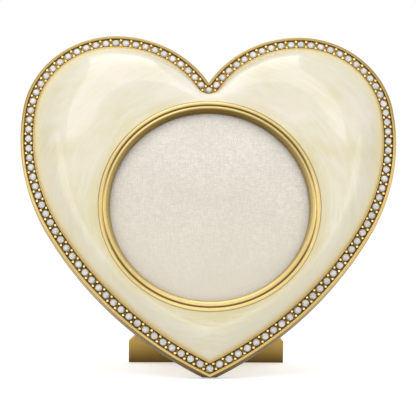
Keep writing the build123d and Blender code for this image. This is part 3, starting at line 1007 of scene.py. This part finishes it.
def enamel():
    """Pearly cream enamel under a clear coat, yellow where it thins; painted light on the low rim, painted
    shadow and gold reflection by the ring, painted highlight under the cleft.
    """
    material, tree, shader = new_material("pearl_enamel")
    cloud = noise(tree, scale=55, detail=5, stretch=(1, 1, 0.55))
    rosy = noise(tree, scale=75, detail=4, stretch=(1.3, 1, 0.8))
    leafy = noise(tree, scale=90, detail=4, stretch=(0.8, 1, 1.2))
    streak = noise_on(tree, round_opening(tree, STROKE_HOOP), STROKE_SCALE, STROKE_DETAIL, STROKE_SWIRL)
    from_rim = attribute(tree, "from_rim")
    from_ring = attribute(tree, "from_ring")
    from_cleft = distance_on_face(tree, CLEFT_HIGHLIGHT_PLACE)
    low = fade_in(tree, height_on_face(tree), LOW_HEIGHTS, LOW_SHARE)

    cream = blend(tree, fade_in(tree, cloud, CREAM_RUN), CREAM_DEEP, CREAM_PALE)
    pink = blend(tree, fade_in(tree, rosy, CAST_RUN, PINK_SHARE), cream, PINK_CAST)
    green = blend(tree, fade_in(tree, leafy, CAST_RUN, GREEN_SHARE), pink, GREEN_CAST)
    warm = blend(tree, low, green, LOW_CREAM)
    pearl = blend(tree, fade_in(tree, streak, STREAK_RUN, STREAK_SHARE), warm, PEARL_STREAK)
    # Painted light on the low flanks near the rim, which face down
    low_rim_light = blend(tree, low, pearl, LOW_RIM_LIGHT)
    lit_low_rim = blend(tree, fade_out(tree, from_rim, LOW_RIM_LIGHT_REACH), pearl, low_rim_light)
    rim_tone = blend(tree, low, RIM_YELLOW, lit_low_rim)
    rimmed = blend(tree, fade_out(tree, from_rim, RIM_REACH, RIM_SHARE), lit_low_rim, rim_tone)
    edged = blend(tree, fade_out(tree, from_rim, EDGE_REACH, EDGE_SHARE), rimmed, EDGE_YELLOW)
    # Painted shadow with a gold reflection next to the ring
    ring_shadowed = blend(tree, fade_out(tree, from_ring, RING_SHADOW_REACH, RING_SHADOW_SHARE), edged, RING_SHADOW_GOLD)
    # Painted highlight under the cleft
    tone = blend(tree, fade_out(tree, from_cleft, CLEFT_HIGHLIGHT_REACH, CLEFT_HIGHLIGHT_SHARE), ring_shadowed, CLEFT_HIGHLIGHT)

    roughness = remap(tree, streak, *NOISE_RUN, to_low=0.30, to_high=0.42)
    tree.links.new(tone, shader.inputs["Base Color"])
    tree.links.new(roughness, shader.inputs["Roughness"])
    tree.links.new(fade_in(tree, from_rim, GLAZE_REACH), shader.inputs["Coat Weight"])
    shader.inputs["Specular IOR Level"].default_value = 0.25
    shader.inputs["Coat IOR"].default_value = 1.6
    shader.inputs["Coat Roughness"].default_value = 0.05
    shader.inputs["Sheen Weight"].default_value = 0.1
    bump(tree, shader, noise(tree, MICA_SCALE, MICA_DETAIL), MICA_RELIEF, strength=0.35)
    return material


def opal():
    """Milky crystal whose facets each have their own painted light, from shaded to lit."""
    material, tree, shader = new_material("opal_crystal")
    painted_facet_light = attribute(tree, "painted_facet_light")
    rosy = noise(tree, scale=420, detail=FIRE_DETAIL)
    leafy = noise(tree, scale=560, detail=FIRE_DETAIL, stretch=(1.4, 1, 0.7))
    # Painted light on each facet, from shaded to lit
    pale = blend(tree, painted_facet_light, FACET_SHADED, FACET_LIT)
    pink = blend(tree, fade_in(tree, rosy, FIRE_RUN, FIRE_SHARE), pale, PINK_FIRE)
    fire = blend(tree, fade_in(tree, leafy, FIRE_RUN, FIRE_SHARE), pink, GREEN_FIRE)
    tree.links.new(fire, shader.inputs["Base Color"])
    tree.links.new(remap(tree, painted_facet_light, 0, 1, to_low=0.04, to_high=0.14), shader.inputs["Roughness"])
    shader.inputs["IOR"].default_value = 1.6
    shader.inputs["Coat Weight"].default_value = 0.6
    shader.inputs["Coat Roughness"].default_value = 0.03
    return material


def pane():
    """Clear glass that shows and lights what is behind it, with a faint shine."""
    material, tree, shader = new_material("clear_pane")
    wave = noise(tree, scale=60, detail=1)
    roughness = remap(tree, wave, *NOISE_RUN, to_low=0.015, to_high=0.03)
    tree.links.new(roughness, shader.inputs["Roughness"])
    shader.inputs["Base Color"].default_value = (0.9, 0.95, 0.92, 1)
    clear = tree.nodes.new("ShaderNodeBsdfTransparent")
    facing = tree.nodes.new("ShaderNodeFresnel")
    facing.inputs["IOR"].default_value = 1.45
    side = tree.nodes.new("ShaderNodeNewGeometry")
    front_only = tree.nodes.new("ShaderNodeMath")
    front_only.operation = "SUBTRACT"
    front_only.inputs[0].default_value = 1
    tree.links.new(side.outputs["Backfacing"], front_only.inputs[1])
    shine = tree.nodes.new("ShaderNodeMath")
    shine.operation = "MULTIPLY"
    tree.links.new(facing.outputs["Fac"], shine.inputs[0])
    tree.links.new(front_only.outputs["Value"], shine.inputs[1])
    mix = tree.nodes.new("ShaderNodeMixShader")
    tree.links.new(shine.outputs["Value"], mix.inputs["Fac"])
    tree.links.new(clear.outputs["BSDF"], mix.inputs[1])
    tree.links.new(shader.outputs["BSDF"], mix.inputs[2])
    tree.links.new(mix.outputs["Shader"], tree.nodes["Material Output"].inputs["Surface"])
    return material


def silk_card():
    """Greige card with the fine crossed sheen of silk paper."""
    material, tree, shader = new_material("silk_card")
    along = noise(tree, THREAD_SCALE, THREAD_DETAIL, (1, 1, THREAD_STRETCH))
    across = noise(tree, THREAD_SCALE, THREAD_DETAIL, (THREAD_STRETCH, 1, 1))
    weave = tree.nodes.new("ShaderNodeMath")
    weave.operation = "MULTIPLY"
    tree.links.new(along, weave.inputs[0])
    tree.links.new(across, weave.inputs[1])
    threads = weave.outputs["Value"]
    cloud = noise(tree, scale=70, detail=4)
    height = height_on_face(tree)
    ground = blend(tree, fade_in(tree, cloud, CARD_CLOUD_RUN), CARD_DEEP, CARD_PALE)
    woven = blend(tree, fade_out(tree, threads, THREAD_TONE_RUN, THREAD_SHARE), ground, THREAD_GAP)
    # Painted shade with a gold reflection low on the card
    low_shaded = blend(tree, fade_in(tree, height, LOW_CARD_SHADE_HEIGHTS, LOW_CARD_SHADE_SHARE), woven, LOW_CARD_SHADE_GOLD)
    # Painted light high on the card, against the ring's shadow
    tone = blend(tree, fade_in(tree, height, HIGH_CARD_LIGHT_HEIGHTS, HIGH_CARD_LIGHT_SHARE), low_shaded, HIGH_CARD_LIGHT)
    roughness = remap(tree, threads, *THREAD_GLOSS_RUN, to_low=0.65, to_high=0.48)
    tree.links.new(tone, shader.inputs["Base Color"])
    tree.links.new(roughness, shader.inputs["Roughness"])
    shader.inputs["Sheen Weight"].default_value = 0.15
    bump(tree, shader, threads, THREAD_RELIEF, strength=0.4)
    return material


def fibres(name, dark, light, scale, relief):
    """Matt board or felt of short mixed fibres."""
    material, tree, shader = new_material(name)
    strands = noise(tree, scale, detail=6)
    tone = blend(tree, fade_in(tree, strands, NOISE_RUN), dark, light)
    roughness = remap(tree, strands, *NOISE_RUN, to_low=0.95, to_high=0.8)
    tree.links.new(tone, shader.inputs["Base Color"])
    tree.links.new(roughness, shader.inputs["Roughness"])
    bump(tree, shader, strands, relief, strength=0.6)
    return material


# Build the pieces that stand for CAD nodes with finer shapes
rim_gold = gold(
    "satin_rim_gold",
    light=(0.66, 0.485, 0.195),
    deep=(0.57, 0.40, 0.135),
    brushing=brushed(1800),
    relief=0.00001,
    roughness=(0.22, 0.34),
    painted_shade=True,
)
ring_gold = gold(
    "turned_ring_gold",
    light=(0.67, 0.52, 0.235),
    deep=(0.58, 0.44, 0.18),
    brushing=turned,
    relief=0.00001,
    roughness=(0.26, 0.38),
    painted_shade=True,
)
bead_gold = gold(
    "bright_bead_gold",
    light=(0.86, 0.70, 0.36),
    deep=(0.72, 0.54, 0.22),
    brushing=brushed(2500),
    relief=0.000004,
    roughness=(0.12, 0.2),
)
# Painted shade: the leg's gold is darker than the rest, as the leg stands in the frame's shadow
shaded_leg_gold = gold(
    "shaded_satin_leg_gold",
    light=(0.50, 0.345, 0.105),
    deep=(0.40, 0.265, 0.07),
    brushing=brushed(2400),
    relief=0.000015,
    roughness=(0.34, 0.46),
    painted_shade=True,
)
give(make_rim(), "frame", "frame_casting", "gold_casting", rim_gold, channel_metal())
give(make_enamel(), "frame", "enamel_front", "cream_enamel", enamel())
give(make_ring(), "frame", "opening_ring", "gold_ring", ring_gold)
give(make_pane(), "frame", "glass_pane", "pane_glass", pane())
give(make_stones(), "frame", "rim_crystals", "crystal", opal())
give(make_beads(), "frame", "setting_beads", "gold_beads", bead_gold)
give(make_leg(), "leg", "easel_leg", "gold_leg", shaded_leg_gold)

# Materials of the CAD nodes that stay
panel_gold = gold(
    "brushed_panel_gold",
    light=(0.60, 0.44, 0.17),
    deep=(0.53, 0.37, 0.13),
    brushing=brushed(2200, (1, 1, 25)),
    relief=0.000012,
    roughness=(0.3, 0.44),
)
fitting_gold = gold(
    "fitting_gold",
    light=(0.76, 0.59, 0.27),
    deep=(0.64, 0.47, 0.18),
    brushing=brushed(2200),
    relief=0.000008,
    roughness=(0.2, 0.3),
)
for metal in (panel_gold, fitting_gold):
    round_edges(metal)
grey_board = fibres(
    "grey_board", dark=(0.26, 0.25, 0.23), light=(0.4, 0.38, 0.35), scale=1500, relief=0.00003
)
felt = fibres("felt_pad", dark=(0.05, 0.045, 0.04), light=(0.11, 0.1, 0.09), scale=1900, relief=0.0001)
stay = {
    "photo_card": silk_card(),
    "backing_board": grey_board,
    "pressure_pad": felt,
    "back_panel": panel_gold,
}
for name in ("hinge_plate", "hinge_rivets", "hinge_pin", "catch_screws", "leg_hinge_leaf", "leg_rivets"):
    stay[name] = fitting_gold
for corner in ("upper_left", "upper_right", "lower_left", "lower_right"):
    stay["turn_button_" + corner] = fitting_gold
for name, material in stay.items():
    for material_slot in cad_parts[name].material_slots:
        material_slot.material = material

# Table: pale, with the frame's shadow, and white where it meets the background
floor_mesh = bpy.data.meshes.new("table")
floor_signs = ((-1, -1), (1, -1), (1, 1), (-1, 1))
floor_corners = [(x * FLOOR_SIZE, y * FLOOR_SIZE, 0) for x, y in floor_signs]
floor_mesh.from_pydata(floor_corners, [], [(0, 1, 2, 3)])
floor = bpy.data.objects.new("table", floor_mesh)
bpy.context.scene.collection.objects.link(floor)
floor_material, floor_tree, floor_shader = new_material("table_white")
floor_shader.inputs["Base Color"].default_value = (0.88, 0.88, 0.88, 1)
floor_shader.inputs["Roughness"].default_value = 0.9
floor_shader.inputs["Specular IOR Level"].default_value = 0.1


def seen_rays(tree):
    """1 for the rays that show the background: from the camera, off metal and through glass."""
    path = tree.nodes.new("ShaderNodeLightPath")
    seen = path.outputs["Is Camera Ray"]
    for name in ("Is Glossy Ray", "Is Transmission Ray"):
        either = tree.nodes.new("ShaderNodeMath")
        either.operation = "MAXIMUM"
        tree.links.new(seen, either.inputs[0])
        tree.links.new(path.outputs[name], either.inputs[1])
        seen = either.outputs["Value"]
    return seen


place = floor_tree.nodes.new("ShaderNodeTexCoord")
reach = floor_tree.nodes.new("ShaderNodeVectorMath")
reach.operation = "LENGTH"
floor_tree.links.new(place.outputs["Object"], reach.inputs[0])
glow = floor_tree.nodes.new("ShaderNodeMath")
glow.operation = "MULTIPLY"
rising_glow = remap(floor_tree, reach.outputs["Value"], NEAR_FLOOR, FAR_FLOOR, NEAR_GLOW, FAR_GLOW)
floor_tree.links.new(rising_glow, glow.inputs[0])
floor_tree.links.new(seen_rays(floor_tree), glow.inputs[1])
floor_tree.links.new(glow.outputs["Value"], floor_shader.inputs["Emission Strength"])
floor_shader.inputs["Emission Color"].default_value = (1, 1, 1, 1)
floor_mesh.materials.append(floor_material)

# World: white where it is seen, and softer as light on the frame
world = bpy.data.worlds.new("studio")
bpy.context.scene.world = world
world.use_nodes = True
backdrop = world.node_tree.nodes["Background"]
backdrop.inputs["Color"].default_value = (1, 1, 1, 1)
white_if_seen = remap(world.node_tree, seen_rays(world.node_tree), 0, 1, WORLD_LIGHT, 1)
world.node_tree.links.new(white_if_seen, backdrop.inputs["Strength"])

# Lamps: a broad softbox overhead, one to each side and one in front

def softbox(name, place, aim, width, height, power):
    """Rectangular lamp, turned to what it is aimed at."""
    lamp = bpy.data.lights.new(name, "AREA")
    lamp.shape = "RECTANGLE"
    lamp.size = width
    lamp.size_y = height
    lamp.energy = power
    holder = bpy.data.objects.new(name, lamp)
    holder.location = place
    holder.rotation_euler = (Vector(aim) - Vector(place)).to_track_quat("-Z", "Y").to_euler()
    bpy.context.scene.collection.objects.link(holder)


softbox(
    "overhead_softbox",
    place=(-0.0675, -0.08, 0.6),
    aim=(-0.0675, 0, AIM_Z),
    width=0.355,
    height=1.0,
    power=1.48,
)
for side, side_name in ((-1, "left_softbox"), (1, "right_softbox")):
    softbox(side_name, place=(0.7 * side, -0.6, 0.3), aim=(0, 0, AIM_Z), width=0.6, height=0.6, power=1.1)
softbox("front_softbox", place=(0, -0.8, 0.1), aim=(0, 0, AIM_Z), width=0.6, height=0.5, power=1.05)

# Camera: nearly level, a little to the left of the middle of the face
camera_data = bpy.data.cameras.new("photo_camera")
camera_data.sensor_width = CAMERA_SENSOR
camera_data.lens = CAMERA_LENS
camera_data.clip_start = CAMERA_NEAR
camera = bpy.data.objects.new("photo_camera", camera_data)
camera.location = CAMERA_PLACE
camera.rotation_euler = [math.radians(angle) for angle in CAMERA_TURN]
bpy.context.scene.collection.objects.link(camera)
bpy.context.scene.camera = camera
bpy.context.scene.view_settings.view_transform = "Standard"

bpy.context.view_layer.update()
